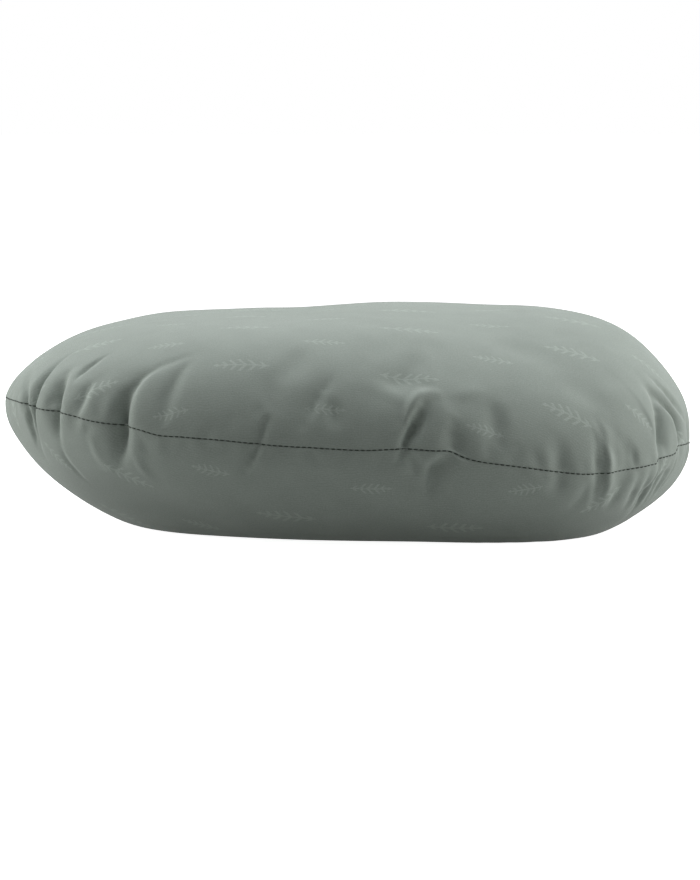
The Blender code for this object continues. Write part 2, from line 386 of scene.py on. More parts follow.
# The rest of the seam has folds of the same kind, at uneven steps
HIDDEN_FROM, HIDDEN_TO = 250, 945  # mm along, by the back
HIDDEN_STEP = 15
HIDDEN_SEED, PUCKER_SEED = 11, 5
MOSTLY_SMALL = 1.7  # the higher, the more of the folds are small
HINGE = frame["joints"][0]["pos_m"]  # the care label's
LABEL_ALONG = Seam.place(angle_and_share(HINGE[0], HINGE[1])[0])
QUIET_REACH = 30  # mm either side of the label where the seam is smooth


def sized(draw, size, least, most, unevenness=0.5):
    """A length between the two for a fold of that size, from 0 to 1, give or take."""
    return least + (most - least) * size * draw.uniform(unevenness, 1.1)


def hidden_folds():
    """Folds of random sizes, in mm, all round the back."""
    draw = random.Random(HIDDEN_SEED)
    folds = []
    along = HIDDEN_FROM
    while along < HIDDEN_TO:
        size = draw.random() ** MOSTLY_SMALL
        high = sized(draw, size, 12, 60, 0.6)
        low = -sized(draw, size, 10, 46)
        lean = draw.uniform(-12, 12) * (0.4 + size)
        drift = draw.uniform(-7, 7)
        left = sized(draw, size, 4, 18)
        right = sized(draw, size, 4, 18)
        rounded = draw.choice(["left", "right", None])
        path = [(along + lean, high), (along + lean / 4, high / 3), (along, 0), (along + drift, low)]
        if abs(along - LABEL_ALONG) > QUIET_REACH:
            folds.append(Fold(path, 1.2 + 6.5 * size, left, right, rounded, draw.uniform(0.35, 0.75)))
        along += HIDDEN_STEP * draw.uniform(0.5, 1.0) * (0.7 + 1.6 * size)
    return folds


PUCKER_STEP = 8  # mm between the small puckers that the stitching draws into the seam


def puckers():
    """Small folds right at the seam, all round."""
    draw = random.Random(PUCKER_SEED)
    small = []
    along = 0.0
    while along < Seam.perimeter:
        top, bottom = draw.uniform(3, 15), draw.uniform(-15, -3)
        path = [(along + draw.uniform(-3, 3), top), (along, 0), (along + draw.uniform(-3, 3), bottom)]
        small.append(Fold(path, draw.uniform(0.3, 1.1), draw.uniform(2.5, 5), draw.uniform(2.5, 5)))
        along += PUCKER_STEP * draw.uniform(0.5, 1.5)
    return small


# Soft swells of the stuffing near the seam: along, off, height, reach along, reach off, all in mm
SWELLS = [
    (34, 45, -2.4, 14, 9), (165, -62, 4.5, 60, 26), (262, -25, 2, 40, 20), (285, 26, 2.5, 40, 25),
    (-140, -60, -4, 60, 26), (-285, -12, 2, 40, 14), (-49, 34, -1.2, 10, 12), (76, 31, -0.7, 14, 8),
    (154, 88, -2.0, 22, 16), (162, 42, -1.6, 14, 12),
]

# Swells and hollows of the crown: place, height and reach along X and Y, all in mm
CROWN_SWELLS = [
    (24, 0, 3.4, 34, 70), (172, 0, 4.2, 50, 80), (-150, 0, 1.6, 45, 80), (-35, 0, -2.0, 17, 60),
    (-60, 0, 0.9, 16, 60), (82, 0, -1.4, 19, 60), (114, 0, 1.0, 20, 60), (-120, 70, 2.0, 30, 25),
    (60, 95, 1.8, 35, 22), (-20, 80, -1.6, 24, 30),
]

# How far the seam runs above or below its even line: the place along it, height and reach, all in mm
SEAM_LIFTS = [
    (-220, 3.6, 45), (-172, 1.5, 16), (-95, -2.2, 26), (-108, -1.3, 8), (-48, -1.7, 28),
    (40, 4.6, 26), (57, 2.2, 7), (140, -4.2, 36), (232, 2.2, 30), (285, 3.0, 40),
]
# Where the seam steps up under a lap of the cover, by how much, and how soon it comes back down
SEAM_STEPS = [(196, 2.4, 60), (219, 3.6, 60)]
STEP_REACH = 1.2
SWAY_REACH = 34  # mm off the seam over which its lift dies out
CROWN_START = 75  # mm off the seam where the crown's swells have their full height
SEAM_TAUTNESS, TAUT_REACH = 0.15, 6.0  # the taut seam keeps folds shallower within that many mm of it


def shape_grid(grid):
    """Presses folds and swells into both panels, and says how far each side's rings moved, in mm."""
    along = wrap(grid.along)
    sway = sum(lift * bump(wrap(along - at), reach) for at, lift, reach in SEAM_LIFTS)
    for at, step, reach in SEAM_STEPS:
        beyond = wrap(along - at)
        sway += step * (1 + np.tanh(beyond / STEP_REACH)) / 2 * bump(np.maximum(beyond, 0), reach)
    outward = {side: grid.normals(side) for side in (1, -1)}
    shared = unit(outward[1][0] + outward[-1][0])
    folds = FOLDS + hidden_folds() + puckers()
    pressed = {}
    for side in (1, -1):
        outward[side][0] = shared
        off = grid.off[side]
        places = np.broadcast_to(along, off.shape)
        moved = sum(fold.press(places, off) for fold in folds)
        moved *= 1 - SEAM_TAUTNESS * bump(off, TAUT_REACH)
        pressed[side] = moved.copy()
        for at, above, height, reach, reach_off in SWELLS:
            moved += height * bump(wrap(places - at), reach) * bump(off - above, reach_off)
        grid.rings[side] += outward[side] * (moved * MM)[..., None]
        grid.rings[side][..., 2] += sway * bump(off, SWAY_REACH) * MM
        grid.rings[side][..., 2] = np.maximum(grid.rings[side][..., 2], 0)
    swell_crown(grid.rings[1], ease(grid.off[1] / CROWN_START))
    swell_crown(grid.block[1], 1.0)
    return pressed


def swell_crown(points, share):
    x, y = points[..., 0] / MM, points[..., 1] / MM
    for at_x, at_y, height, reach_x, reach_y in CROWN_SWELLS:
        points[..., 2] += height * MM * bump(x - at_x, reach_x) * bump(y - at_y, reach_y) * share


# ---- mesh


class Layout:
    """Where each point of the grid stands in one list: the seam, then each side's rings and block."""

    def __init__(self, grid):
        n, a, b = grid.columns, ROUND_LONG, ROUND_SHORT
        self.rings, self.block = {}, {}
        count = n
        for side in (1, -1):
            inner = np.arange(count, count + n * RINGS).reshape(RINGS, n)
            self.rings[side] = np.vstack([np.arange(n)[None], inner])
            count += n * RINGS
            last = inner[-1]
            block = np.empty((a + 1, b + 1), int)
            block[a, :] = last[0 : b + 1]
            block[:, b] = last[b : b + a + 1][::-1]
            block[0, :] = last[b + a : 2 * b + a + 1][::-1]
            block[:, 0] = np.append(last[2 * b + a :], last[0])
            block[1:-1, 1:-1] = np.arange(count, count + (a - 1) * (b - 1)).reshape(a - 1, b - 1)
            self.block[side] = block
            count += (a - 1) * (b - 1)
        self.count = count

    def points(self, grid):
        made = np.empty((self.count, 3))
        for side in (1, -1):
            made[self.block[side]] = grid.block[side]
            made[self.rings[side]] = grid.rings[side]
        made[self.rings[1][0]] = (grid.rings[1][0] + grid.rings[-1][0]) / 2
        return made

    def faces(self, side, rings):
        """The faces of a panel's middle block and of the rows of points in rings, from outside in."""
        quads = np.vstack([bands(rings[:-1], rings[1:]), squares(self.block[side])])
        return quads if side > 0 else quads[:, ::-1]


def bands(near, far):
    """The faces between closed rings of points and the rings next to them."""
    return np.stack([near, np.roll(near, -1, axis=1), np.roll(far, -1, axis=1), far], -1).reshape(-1, 4)


def squares(index):
    """The faces between the rows and columns of a block of points."""
    return np.stack([index[:-1, :-1], index[1:, :-1], index[1:, 1:], index[:-1, 1:]], -1).reshape(-1, 4)


def new_mesh(name, verts, faces):
    """A smooth piece in the scene, from an array of points and a list of faces."""
    mesh = bpy.data.meshes.new(name)
    mesh.from_pydata(verts.tolist(), [], faces)
    mesh.update()
    mesh.shade_smooth()
    made = bpy.data.objects.new(name, mesh)
    bpy.context.scene.collection.objects.link(made)
    return made


# ---- cloth

CLOTH_FRAMES = 12
STUFFING_PRESSURE, BENDING_STIFFNESS = 3.0, 0.1
EXCESS_AT_SEAM, EXCESS_ON_CROWN = 0.018, 0.001  # how much longer the fabric is than the form
EXCESS_REACH = 26  # mm off the seam
LEAST_EXCESS = 0.02  # of the full excess, what is less than this counts as none
MOST_MOVED = 0.004  # metres
CALM_FROM, CALM_OVER = 28, 30  # mm off the seam where creases die out, and over how far
CALM_ROUNDS = 40
HELD_VALLEY, HELD_RIDGE = -2.6, 1.0  # mm, what is pressed in or out further than this stays where it is


def relax(points, faces, held, near_seam):
    """How the closed cover moves as it settles under the stuffing's pressure. The held points stay put."""
    scene = bpy.context.scene
    cover = new_mesh("settling_cover", points, faces.tolist())
    pins = cover.vertex_groups.new(name="held")
    pins.add([int(i) for i in held], 1.0, "REPLACE")
    excess = cover.vertex_groups.new(name="excess")
    for i in np.where(near_seam > LEAST_EXCESS)[0]:
        excess.add([int(i)], float(near_seam[i]), "REPLACE")
    cloth = cover.modifiers.new("cloth", "CLOTH")
    cloth.collision_settings.use_collision = False
    cloth.point_cache.frame_start = 1
    cloth.point_cache.frame_end = CLOTH_FRAMES
    settings = cloth.settings
    settings.vertex_group_mass = "held"
    settings.effector_weights.gravity = 0
    settings.use_pressure = True
    settings.uniform_pressure_force = STUFFING_PRESSURE
    settings.bending_stiffness = BENDING_STIFFNESS
    settings.vertex_group_shrink = "excess"
    settings.shrink_min = -EXCESS_ON_CROWN
    settings.shrink_max = -EXCESS_AT_SEAM
    for frame_number in range(1, CLOTH_FRAMES + 1):
        scene.frame_set(frame_number)
    settled = cover.evaluated_get(bpy.context.evaluated_depsgraph_get()).data
    ends = np.empty(len(points) * 3)
    settled.vertices.foreach_get("co", ends)
    moved = ends.reshape(-1, 3) - points
    length = np.linalg.norm(moved, axis=1, keepdims=True)
    bpy.data.objects.remove(cover)
    scene.frame_set(1)
    return moved * np.minimum(1, MOST_MOVED / np.maximum(length, 1e-9))


def calm(moved, grid, layout):
    """Evens out how the crown moved, so that only the cover near the seam creases."""
    for side in (1, -1):
        rings, block = layout.rings[side], layout.block[side]
        share = ease((abs(grid.off[side]) - CALM_FROM) / CALM_OVER)[..., None]
        moves = moved[rings]
        for _ in range(CALM_ROUNDS):
            moves += share * ((np.roll(moves, 1, axis=1) + np.roll(moves, -1, axis=1)) / 2 - moves)
        moved[rings] = moves
        moves = moved[block]
        for _ in range(CALM_ROUNDS):
            beside = moves[:-2, 1:-1] + moves[2:, 1:-1] + moves[1:-1, :-2] + moves[1:-1, 2:]
            moves[1:-1, 1:-1] = beside / 4
        moved[block] = moves
    return moved


def settle(grid, layout, pressed):
    """The points of the cover once the cloth has settled."""
    points = layout.points(grid)
    faces = np.vstack([layout.faces(side, layout.rings[side]) for side in (1, -1)])
    near_seam = np.zeros(layout.count)
    deep = np.zeros(layout.count)
    for side in (1, -1):
        near_seam[layout.rings[side]] = bump(grid.off[side], EXCESS_REACH)
        deep[layout.rings[side]] = pressed[side]
    held = np.where((points[:, 2] < GROUND_HELD) | (deep < HELD_VALLEY) | (deep > HELD_RIDGE))[0]
    moved = relax(points, faces, np.union1d(layout.rings[1][0], held), near_seam)
    return points + calm(moved, grid, layout)


# ---- the seam's edges

# How the edges lie at the seam, in mm out from it and up from it, for the upper panel: rolled inwards
# all round, but along the closed gap they stand out as a fin before they turn back in
ROLLED = [(-0.02, 0.8), (-0.06, 0.38), (-0.18, 0.14), (-0.42, 0.06), (-1.5, 0.05), (-5, 0.05), (-9.5, 0.05)]
STANDING = [(0.35, 0.8), (1.6, 0.55), (2.9, 0.5), (3.15, 0.32), (2.9, 0.1), (-1, 0.05), (-9.5, 0.05)]
CLOSING_START, CLOSING_END = math.radians(58), math.radians(106)
CLOSING_RAMP = math.radians(6)
LABEL_SPREAD = 0.35  # mm by which the label spreads the edges


def closing_share(angle):
    """1 along the closed gap, 0 elsewhere, with a short ramp beyond each of its ends."""
    inside = np.minimum(angle - CLOSING_START, CLOSING_END - angle)
    return ease(1 + inside / CLOSING_RAMP)


class Mouth:
    """The line where the panels meet, and the directions out of the pillow and up there."""

    def __init__(self, grid, layout, points):
        line = points[layout.rings[1][0]]
        above, below = points[layout.rings[1][1]], points[layout.rings[-1][1]]
        self.line = (np.roll(line, 1, axis=0) + 4 * line + np.roll(line, -1, axis=0)) / 6
        tangent = np.roll(line, -1, axis=0) - np.roll(line, 1, axis=0)
        self.out = unit(np.cross(tangent, [0, 0, 1.0]))
        up = above - below
        self.up = unit(up - (up * self.out).sum(1, keepdims=True) * self.out)
        self.along, self.angles = grid.along, grid.angles

    def at(self, along, out, up):
        """Points at any places along the seam, at mm out of it and up from it."""
        period = Seam.perimeter
        line, outward, upward = (
            np.stack([np.interp(along, self.along, column, period=period) for column in values.T], -1)
            for values in (self.line, self.out, self.up)
        )
        return line + outward * (out * MM)[..., None] + upward * (up * MM)[..., None]


def panel(name, side, grid, layout, points, mouth):
    """One panel of the cover: its edge rolled in at the seam, its rings and its middle block."""
    closing = closing_share(mouth.angles)
    spread = LABEL_SPREAD * bump(wrap(mouth.along - LABEL_ALONG), LABEL_WIDTH / MM)
    rows = []
    for (out, up), (fin_out, fin_up) in zip(ROLLED, STANDING, strict=True):
        reach = out + (fin_out - out) * closing
        rise = up + (fin_up - up) * closing + spread
        rows.append(mouth.at(mouth.along, reach, side * rise))
    edge_rows = np.arange(layout.count, layout.count + len(rows) * grid.columns).reshape(len(rows), -1)
    everything = np.vstack([points, *rows])
    faces = layout.faces(side, np.vstack([edge_rows[::-1], layout.rings[side][1:]]))
    used, places = np.unique(faces, return_inverse=True)
    made = new_mesh(name, everything[used], places.reshape(faces.shape).tolist())
    mark_cloth(made, cloth_places(side, grid, layout, len(everything), edge_rows)[used])
    finer = made.modifiers.new("finer", "SUBSURF")
    finer.levels = finer.render_levels = 1
    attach(made, "pillow")
    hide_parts(name + "_panel")
    return made


# ---- cloth places

FLAT_LENGTH, FLAT_WIDTH = 457, 356  # mm, the panels as they were cut
SHARE_STEPS = 33


def mark_cloth(piece, places):
    """Keeps where each point lay on the flat cloth, for the weave and the print."""
    cloth = piece.data.attributes.new("cloth", "FLOAT_VECTOR", "POINT")
    cloth.data.foreach_set("vector", places.ravel())


def meridian_share(angle, share, side):
    """How far along its meridian each place lies: 0 at the middle of the panel and 1 at the seam."""
    steps = np.linspace(0, 1, SHARE_STEPS)
    inner = surface(angle[..., None], share[..., None] * steps, side)
    outer = surface(angle[..., None], share[..., None] + (1 - share[..., None]) * steps, side)
    to_centre = np.linalg.norm(np.diff(inner, axis=-2), axis=-1).sum(-1)
    to_seam = np.linalg.norm(np.diff(outer, axis=-2), axis=-1).sum(-1)
    return to_centre / (to_centre + to_seam)


def cloth_places(side, grid, layout, count, edge_rows):
    """Where each point of a panel lay on the flat cloth, in mm from its middle."""
    flat = np.zeros((count, 3))
    flat[:, 2] = side

    def lay(where, angle, reach):
        x, y = edge(angle)
        flat[where, 0] = x / HALF_LENGTH * FLAT_LENGTH / 2 * reach
        flat[where, 1] = y / HALF_WIDTH * FLAT_WIDTH / 2 * reach

    angle, share = angle_and_share(grid.block[side][..., 0], grid.block[side][..., 1])
    lay(layout.block[side], angle, meridian_share(angle, np.clip(share, 1e-4, 1), side))
    angle = np.broadcast_to(grid.angles, grid.off[side].shape)
    block_share = meridian_share(grid.angles, np.full(grid.columns, BLOCK_SHARE), side)
    total = abs(grid.off[side][-1]) / (1 - block_share)
    lay(layout.rings[side], angle, 1 - abs(grid.off[side]) / total)
    lay(edge_rows, np.broadcast_to(grid.angles, edge_rows.shape), 1.0)
    return flat


# ---- threads

STITCH = 3.3  # mm from one needle hole to the next
STITCH_POINTS, THREAD_SIDES = 10, 6
DIP_REACH = 0.16  # of half a stitch, over which a thread dips either side of where it stops showing


def tube(name, line, radius, closed):
    """A round thread along a line of points."""
    ahead = np.roll(line, -1, axis=0) - np.roll(line, 1, axis=0)
    if not closed:
        ahead[0], ahead[-1] = line[1] - line[0], line[-1] - line[-2]
    ahead = unit(ahead)
    aside = unit(np.cross(ahead, [0, 0, 1.0]))
    over = np.cross(aside, ahead)
    turn = np.arange(THREAD_SIDES) / THREAD_SIDES * 2 * np.pi
    ring = aside[:, None] * np.cos(turn)[None, :, None] + over[:, None] * np.sin(turn)[None, :, None]
    verts = (line[:, None] + ring * radius).reshape(-1, 3)
    index = np.arange(len(verts)).reshape(len(line), THREAD_SIDES)
    near, far = (index, np.roll(index, -1, axis=0)) if closed else (index[:-1], index[1:])
    faces = bands(near, far).tolist()
    if not closed:
        faces += [index[0].tolist(), index[-1][::-1].tolist()]
    return new_mesh(name, verts, faces)


def surfacing(phase, shown):
    """1 while a lockstitch shows and 0 while it dips, for that share of each stitch."""
    away = abs(np.mod(phase, 1) - 0.5) * 2
    return ease((shown + DIP_REACH - away) / (2 * DIP_REACH))


def thread_piece(name, slot, look, mouth, span, out, up, radius):
    """A thread over that span of the seam. out and up give its place in mm for a stitch phase."""
    start, end = span
    closed = end - start >= Seam.perimeter
    stitches = round((end - start) / STITCH)
    phase = np.arange(stitches * STITCH_POINTS + (0 if closed else 1)) / STITCH_POINTS
    along = start + phase / stitches * (end - start)
    piece = tube(name + "_stitches", mouth.at(along, out(phase), up(phase)), radius * MM, closed)
    piece.data.materials.append(look)
    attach(piece, "pillow")
    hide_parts(name + "_thread")


def threads(mouth, dark, pale):
    whole = (0, Seam.perimeter)
    closing = (Seam.place(CLOSING_START), Seam.place(CLOSING_END))

    def level(value):
        return lambda phase: np.full(phase.shape, value)

    # Each thread's span, its place out of the seam and up from it by phase, and its radius, in mm
    for name, *run in (
        ("seam_needle", whole, lambda p: 1.05 * surfacing(p, 0.6) - 1.2, level(0.0), 0.4),
        ("seam_bobbin", whole, lambda p: -2.4 + 0.9 * surfacing(p + 0.5, 0.3), level(0.0), 0.3),
        ("closing_needle", closing, level(1.7), lambda p: 0.12 + 0.5 * surfacing(p, 0.75), 0.22),
        ("closing_bobbin", closing, level(1.7), lambda p: -0.12 - 0.5 * surfacing(p, 0.75), 0.22),
        ("overlock_needle", whole, level(-7.2), lambda p: 0.1 + 0.35 * surfacing(p, 0.75), 0.15),
        ("overlock_upper_looper", whole, lambda p: -8.3 + 1.1 * np.cos(2 * np.pi * p), level(0.5), 0.12),
        ("overlock_lower_looper", whole, lambda p: -8.3 - 1.1 * np.cos(2 * np.pi * p), level(-0.5), 0.12),
    ):
        slot, look = ("overlock_thread", pale) if "overlock" in name else ("seam_thread", dark)
        thread_piece(name, slot, look, mouth, *run)


# ---- fill and label

FILL_DEPTH = 14.0  # mm inside the cover's even form
FILL_PULLED_IN, PULLED_IN_REACH = 5.0, 14  # mm more at the seam, clear of the allowances

LABEL_WIDTH, LABEL_THICKNESS = 0.036, 0.0004
LABEL_ROWS, LABEL_COLUMNS = 60, 25
LABEL_ROUNDINGS = 6
LABEL_WAVE, LABEL_WAVE_TURN = 0.5, 5  # mm, and how many radians of a wave lie across it
LABEL_SEWN, LABEL_BEND = 8.0, 6.0  # mm of it in the seam, and of the bend where it leaves the seam's line
# The tape's course in mm out of the seam and up from it, from the allowance to its hanging end
LABEL_COURSE = [
    (-8, 0), (-4, 0), (-1, 0), (0.8, -0.1), (2.2, -1.0),
    (3.0, -3.2), (3.4, -8), (4.2, -20), (5.6, -32), (7.4, -43),
]


def foam_fill(layout, even):
    """Loose foam crumbs, a rough mass that stays inside the cover."""
    points = layout.points(even)
    centre = points.mean(axis=0)
    inner = points.copy()
    for side in (1, -1):
        normals = even.normals(side)
        normals[0] = unit((points[layout.rings[1][0]] - centre) * [1, 1, 0])
        depth = FILL_DEPTH + FILL_PULLED_IN * bump(even.off[side], PULLED_IN_REACH)
        inner[layout.rings[side]] -= normals * (depth * MM)[..., None]
        inner[layout.block[side][1:-1, 1:-1], 2] -= side * FILL_DEPTH * MM
    faces = np.vstack([layout.faces(side, layout.rings[side]) for side in (1, -1)])
    piece = new_mesh("foam_crumb_fill", inner, faces.tolist())
    piece.data.materials.append(foam())
    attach(piece, "pillow")
    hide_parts("foam_fill")


def care_label(mouth):
    """A blank tape caught in the seam, which hangs outside it."""
    course = np.array(LABEL_COURSE, float)
    lengths = running_lengths(course)
    fine = np.linspace(0, lengths[-1], LABEL_ROWS)
    out, up = (np.interp(fine, lengths, column) for column in course.T)
    for _ in range(LABEL_ROUNDINGS):
        out[1:-1] = (out[:-2] + 2 * out[1:-1] + out[2:]) / 4
        up[1:-1] = (up[:-2] + 2 * up[1:-1] + up[2:]) / 4
    out, up = out[:, None], up[:, None] + LABEL_THICKNESS / MM / 2
    across = np.linspace(-0.5, 0.5, LABEL_COLUMNS)
    shape = (LABEL_ROWS, LABEL_COLUMNS)
    along = np.broadcast_to(LABEL_ALONG + across * LABEL_WIDTH / MM, shape)
    in_seam = mouth.at(along, out, up)
    line, beyond = mouth.at(np.full(2, LABEL_ALONG), np.array([0, 1.0]), np.zeros(2))
    outward = (beyond - line) / MM
    straight = line + np.cross([0, 0, 1.0], outward) * (across * LABEL_WIDTH)[:, None]
    wave = LABEL_WAVE * np.sin(across * LABEL_WAVE_TURN) * (fine / fine[-1])[:, None] ** 2
    hanging = straight + outward * ((out + wave) * MM)[..., None] + (up * MM)[..., None] * [0, 0, 1.0]
    hung = ease((fine - LABEL_SEWN) / LABEL_BEND)[:, None, None]
    verts = in_seam + hung * (hanging - in_seam)
    index = np.arange(along.size).reshape(shape)
    piece = new_mesh("care_label_tape", verts.reshape(-1, 3), squares(index).tolist())
    places = np.zeros((*shape, 3))
    places[..., 0] = across * LABEL_WIDTH / MM
    places[..., 1] = fine[:, None]
    mark_cloth(piece, places)
    thicken(piece, LABEL_THICKNESS)
    piece.data.materials.append(label_tape())
    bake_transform(piece)
    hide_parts("care_label")


def thicken(piece, thickness):
    """Gives a sheet its thickness, in its mesh."""
    mesh = bmesh.new()
    mesh.from_mesh(piece.data)
    bmesh.ops.solidify(mesh, geom=mesh.faces[:], thickness=thickness)
    mesh.to_mesh(piece.data)
    mesh.free()


# ---- materials

CLOTH_COLOUR = (0.216, 0.247, 0.218)
THREAD_PITCH = 0.9  # mm between the threads of the weave
RIB_PITCH = 1.3  # mm between the faint ribs that the brushing leaves
PRINT_WIDE, PRINT_HIGH = 92.0, 52.0  # mm from one printed sprig to the next
SPRIG_LENGTH, SPRIG_HALF_HEIGHT = 33.0, 4.6
LEAF_STEP, LEAF_SLANT = 5.5, -0.9
SMALL_SPRIG = 0.72
PRINT_SHIFT = 13.0  # mm by which each panel's print is shifted, one either way
NAP_TONE, CLOUD_TONE = 0.22, 0.09  # how much lighter or darker the nap and its patches make the cloth
WEAVE_TONE, RIB_TONE, PRINT_TONE = 0.03, 0.035, 0.2
THREAD_GRAIN = 2600
FOAM_COLOUR, CRUMB_SCALE = (0.62, 0.6, 0.5), 140
TAPE_COLOUR = (0.68, 0.69, 0.66)
TAPE_WEAVE, TAPE_STITCH = 0.5, 2.0  # mm
TAPE_STITCHED_AT = 16.2  # mm from the middle of the tape
DARK_THREAD, PALE_THREAD = (0.012, 0.022, 0.012), (0.2, 0.23, 0.2)


class Look:
    """A material's node tree, with short ways to add to it."""

    def __init__(self, name, colour, roughness):
        self.material = bpy.data.materials.new(name)
        self.material.use_nodes = True
        self.nodes = self.material.node_tree.nodes
        self.links = self.material.node_tree.links
        self.shader = self.nodes["Principled BSDF"]
        self.colour = colour
        self.give("Base Color", (*colour, 1))
        self.give("Roughness", roughness)

    def put(self, value, socket):
        if isinstance(value, bpy.types.NodeSocket):
            self.links.new(value, socket)
        else:
            socket.default_value = value

    def give(self, name, value):
        self.put(value, self.shader.inputs[name])

    def math(self, operation, *values):
        node = self.nodes.new("ShaderNodeMath")
        node.operation = operation
        for value, socket in zip(values, node.inputs, strict=False):
            self.put(value, socket)
        return node.outputs[0]

    def times(self, first, second):
        return self.math("MULTIPLY", first, second)

    def scaled(self, value, factor, more):
        return self.math("MULTIPLY_ADD", value, factor, more)

    def cloth(self):
        """The place on the flat cloth in mm: across, along and which panel."""
        place = self.nodes.new("ShaderNodeAttribute")
        place.attribute_name = "cloth"
        parts = self.nodes.new("ShaderNodeSeparateXYZ")
        self.links.new(place.outputs["Vector"], parts.inputs[0])
        return place.outputs["Vector"], *parts.outputs

    def noise(self, place, scale, detail=3.0):
        node = self.nodes.new("ShaderNodeTexNoise")
        self.put(place, node.inputs["Vector"])
        node.inputs["Scale"].default_value = scale
        node.inputs["Detail"].default_value = detail
        return node.outputs["Fac"]

    def object_place(self):
        return self.nodes.new("ShaderNodeTexCoord").outputs["Object"]

    def ribs(self, across, pitch):
        return self.math("SINE", self.times(across, 2 * math.pi / pitch))

    def soft_step(self, value, low, high):
        """0 where the value is low and 1 where it is high. Low may be the greater of the two."""
        node = self.nodes.new("ShaderNodeMapRange")
        node.interpolation_type = "SMOOTHSTEP"
        self.put(value, node.inputs["Value"])
        node.inputs["From Min"].default_value = low
        node.inputs["From Max"].default_value = high
        return node.outputs[0]

    def shade(self, *factors):
        """The colour times all the factors, as the base colour."""
        factor = factors[0]
        for other in factors[1:]:
            factor = self.times(factor, other)
        scale = self.nodes.new("ShaderNodeVectorMath")
        scale.operation = "SCALE"
        scale.inputs[0].default_value = self.colour
        self.put(factor, scale.inputs["Scale"])
        self.give("Base Color", scale.outputs[0])

    def bump(self, height, distance, strength=1.0):
        node = self.nodes.new("ShaderNodeBump")
        node.inputs["Distance"].default_value = distance
        node.inputs["Strength"].default_value = strength
        self.put(height, node.inputs["Height"])
        self.give("Normal", node.outputs[0])

    def around(self, value, spread):
        """1, give or take the spread, as a value runs from 0 to 1."""
        return self.scaled(value, 2 * spread, 1 - spread)

    def raised(self, value, amount):
        """1, and that amount more where the value is 1."""
        return self.scaled(value, amount, 1.0)


def sprig(look, across, up, size):
    """A printed sprig: a stem with slanted leaves. 1 on it and 0 off it."""
    p = look.math("DIVIDE", across, size)
    q = look.math("ABSOLUTE", look.math("DIVIDE", up, size))
    slanted = look.scaled(q, LEAF_SLANT, p)
    step = look.math("FRACT", look.math("DIVIDE", slanted, LEAF_STEP))
    from_leaf = look.times(look.math("ABSOLUTE", look.math("SUBTRACT", step, 0.5)), LEAF_STEP)
    leaf = look.soft_step(from_leaf, 1.2, 0.8)
    reach = look.math("DIVIDE", p, SPRIG_LENGTH / 2)
    taper = look.math("SUBTRACT", 1.0, look.times(reach, reach))
    tips = look.math("SUBTRACT", look.times(taper, SPRIG_HALF_HEIGHT), q)
    leaves = look.times(leaf, look.soft_step(tips, -0.2, 0.3))
    stem = look.times(look.soft_step(q, 0.7, 0.3), look.soft_step(taper, 0.0, 0.1))
    return look.math("MAXIMUM", leaves, stem)


def sprigs(look, across, up, size):
    """Sprigs on a grid, upside down in every other column."""
    column = look.math("DIVIDE", across, PRINT_WIDE)
    odd = look.math("MODULO", look.math("ABSOLUTE", look.math("FLOOR", column)), 2.0)
    turn = look.scaled(odd, -2.0, 1.0)

    def within(share, pitch):
        return look.times(look.times(look.math("SUBTRACT", look.math("FRACT", share), 0.5), pitch), turn)

    row = look.math("DIVIDE", up, PRINT_HIGH)
    return sprig(look, within(column, PRINT_WIDE), within(row, PRINT_HIGH), size)


def brushed_cloth():
    """Brushed polyester: a fine weave under a soft nap, with a faint lighter print."""
    look = Look("brushed_cloth", CLOTH_COLOUR, 0.85)
    look.give("Sheen Weight", 0.12)
    look.give("Sheen Roughness", 0.5)
    look.give("Specular IOR Level", 0.25)
    place, across, up, side = look.cloth()
    shifted = look.scaled(side, PRINT_SHIFT, across)
    between, higher = look.math("ADD", shifted, PRINT_WIDE / 2), look.math("ADD", up, PRINT_HIGH / 2)
    large = sprigs(look, shifted, up, 1.0)
    printed = look.math("MAXIMUM", large, sprigs(look, between, higher, SMALL_SPRIG))
    weave = look.times(look.ribs(across, THREAD_PITCH), look.ribs(up, THREAD_PITCH))
    nap = look.noise(place, 1.1, 4.0)
    cloudy = look.noise(place, 0.05, 3.0)
    wavy = look.scaled(look.noise(place, 0.09, 1.0), 5.0, up)
    ribs = look.ribs(wavy, RIB_PITCH)
    napped = look.times(look.around(nap, NAP_TONE), look.around(cloudy, CLOUD_TONE))
    woven, ribbed = look.raised(weave, WEAVE_TONE), look.raised(ribs, RIB_TONE)
    look.shade(napped, woven, ribbed, look.raised(printed, PRINT_TONE))
    look.give("Roughness", look.scaled(nap, 0.12, 0.78))
    height = look.scaled(nap, 0.8, look.times(weave, 0.4))
    look.bump(look.scaled(ribs, 0.05, height), 0.00015, 0.7)
    return look.material


def twisted_thread(name, colour):
    """A spun thread, with a fine uneven grain."""
    look = Look(name, colour, 0.6)
    grain = look.noise(look.object_place(), THREAD_GRAIN, 2.0)
    look.shade(look.around(grain, 0.35))
    look.give("Roughness", look.scaled(grain, 0.3, 0.45))
    look.bump(grain, 0.00008)
    return look.material


def foam():
    """Crumbs of foam pressed together."""
    look = Look("crumb_foam", FOAM_COLOUR, 0.95)
    crumbs = look.nodes.new("ShaderNodeTexVoronoi")
    crumbs.inputs["Scale"].default_value = CRUMB_SCALE
    look.put(look.object_place(), crumbs.inputs["Vector"])
    look.shade(look.scaled(crumbs.outputs["Distance"], -0.5, 1.15))
    look.bump(look.math("SUBTRACT", 1.0, crumbs.outputs["Distance"]), 0.002)
    return look.material


